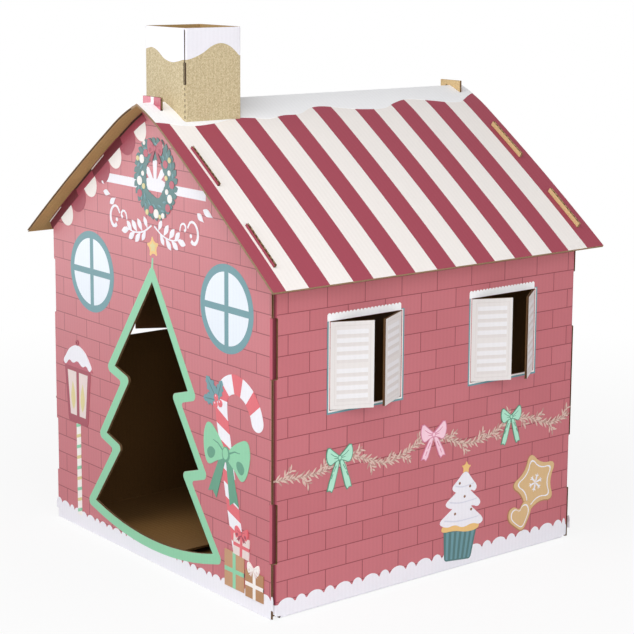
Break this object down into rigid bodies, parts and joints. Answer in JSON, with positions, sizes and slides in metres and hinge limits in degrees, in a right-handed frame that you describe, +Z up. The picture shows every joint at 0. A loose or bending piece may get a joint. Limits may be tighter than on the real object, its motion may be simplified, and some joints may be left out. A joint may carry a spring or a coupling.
{
  "type": "cardboard house",
  "caption": "Free-standing house folded and slotted from printed corrugated board, with a tree-shaped door, shuttered windows, a striped gable roof and a chimney.",
  "frame": {"origin": "on the ground, under the middle of the roof sheet", "axes": "+X across the front to the viewer's right when facing the door; +Y from the front to the back; +Z up"},
  "size_m": [0.5658, 0.545, 0.6906],
  "materials": {
    "wall_board": "matt printed corrugated board, bare kraft inside and at the cut edges",
    "roof_board": "matt printed corrugated board, bare kraft underneath and at the cut edges",
    "chimney_board": "matt printed corrugated board, bare kraft inside and at the cut edges"
  },
  "bodies": {
    "root": {"front_wall": "wall_board", "back_wall": "wall_board", "left_side_wall": "wall_board", "right_side_wall": "wall_board", "roof": "roof_board", "chimney": "chimney_board"}
  },
  "joints": []
}
